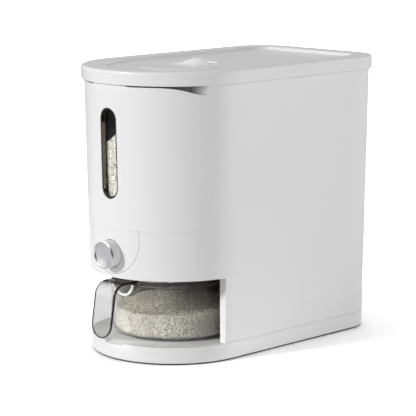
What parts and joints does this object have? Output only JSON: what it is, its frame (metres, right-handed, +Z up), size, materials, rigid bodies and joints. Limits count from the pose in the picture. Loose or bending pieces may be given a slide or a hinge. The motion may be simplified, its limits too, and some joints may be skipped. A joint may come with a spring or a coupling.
{
  "type": "rice dispenser with drawer",
  "caption": "Counter-top grain dispenser: half-round front, lift-off lid, clear window, push button over a measuring chamber and a clear pull-out drawer with a hooked handle.",
  "frame": {"origin": "centre of the part's box on the surface it stands on", "axes": "+Z up, +Y from the half-round front to the rear, +X to the right of someone facing the rear"},
  "size_m": [0.209, 0.3678, 0.3314],
  "materials": {
    "white_gloss": "satin white moulded plastic with a slight sheen",
    "inner_white": "plain white moulded plastic, food contact",
    "clear_cup": "clear polished plastic, slightly warm in its thick edges",
    "clear_pane": "clear polished plastic",
    "chrome_ring": "bright chrome",
    "satin_face": "satin silver, dished",
    "grey_works": "plain grey moulded plastic",
    "pale_seal": "pale translucent silicone",
    "dark_seal": "dark soft rubber",
    "foot_rubber": "grey rubber",
    "steel": "plain bright steel"
  },
  "bodies": {
    "root": {"base_tray": "white_gloss", "rubber_feet": "foot_rubber", "base_screws": "steel", "body_shell": "white_gloss", "lower_front_cover": "white_gloss", "cover_screws": "steel", "button_plate": "white_gloss", "button_sleeve": "white_gloss", "return_spring": "steel", "measuring_chamber": "inner_white", "chamber_screws": "steel", "mechanism_deck": "grey_works", "deck_screws": "steel", "hopper": "grey_works", "window_pane": "clear_pane", "window_gasket": "dark_seal", "neck_seal": "pale_seal", "drawer_rail_left": "grey_works", "drawer_rail_right": "grey_works", "rail_screws": "steel", "drawer_bumpers": "dark_seal"},
    "lid": {"lid": "white_gloss", "lid_seal": "pale_seal"},
    "cap": {"round_cap": "white_gloss", "cap_ring": "pale_seal", "drying_basket": "inner_white"},
    "drawer": {"drawer_cup": "clear_cup"},
    "button": {"button_barrel": "white_gloss", "button_ring": "chrome_ring", "button_face": "satin_face", "push_rod": "grey_works", "shutter_yoke": "grey_works", "upper_shutter": "grey_works", "lower_shutter": "grey_works"}
  },
  "joints": [
    {"name": "lid_lift", "type": "slide", "parent": "root", "child": "lid", "axis": [0, 0, 1], "range_m": [0, 0.045]},
    {"name": "cap_lift", "type": "slide", "parent": "lid", "child": "cap", "axis": [0, 0, 1], "range_m": [0, 0.035]},
    {"name": "drawer_slide", "type": "slide", "parent": "root", "child": "drawer", "axis": [0, -1, 0], "range_m": [0, 0.175]},
    {"name": "button_push", "type": "slide", "parent": "root", "child": "button", "axis": [0, 1, 0], "range_m": [0, 0.01], "stiffness_N_per_m": 300, "springref_m": -0.006, "deforming": ["return_spring"]}
  ]
}
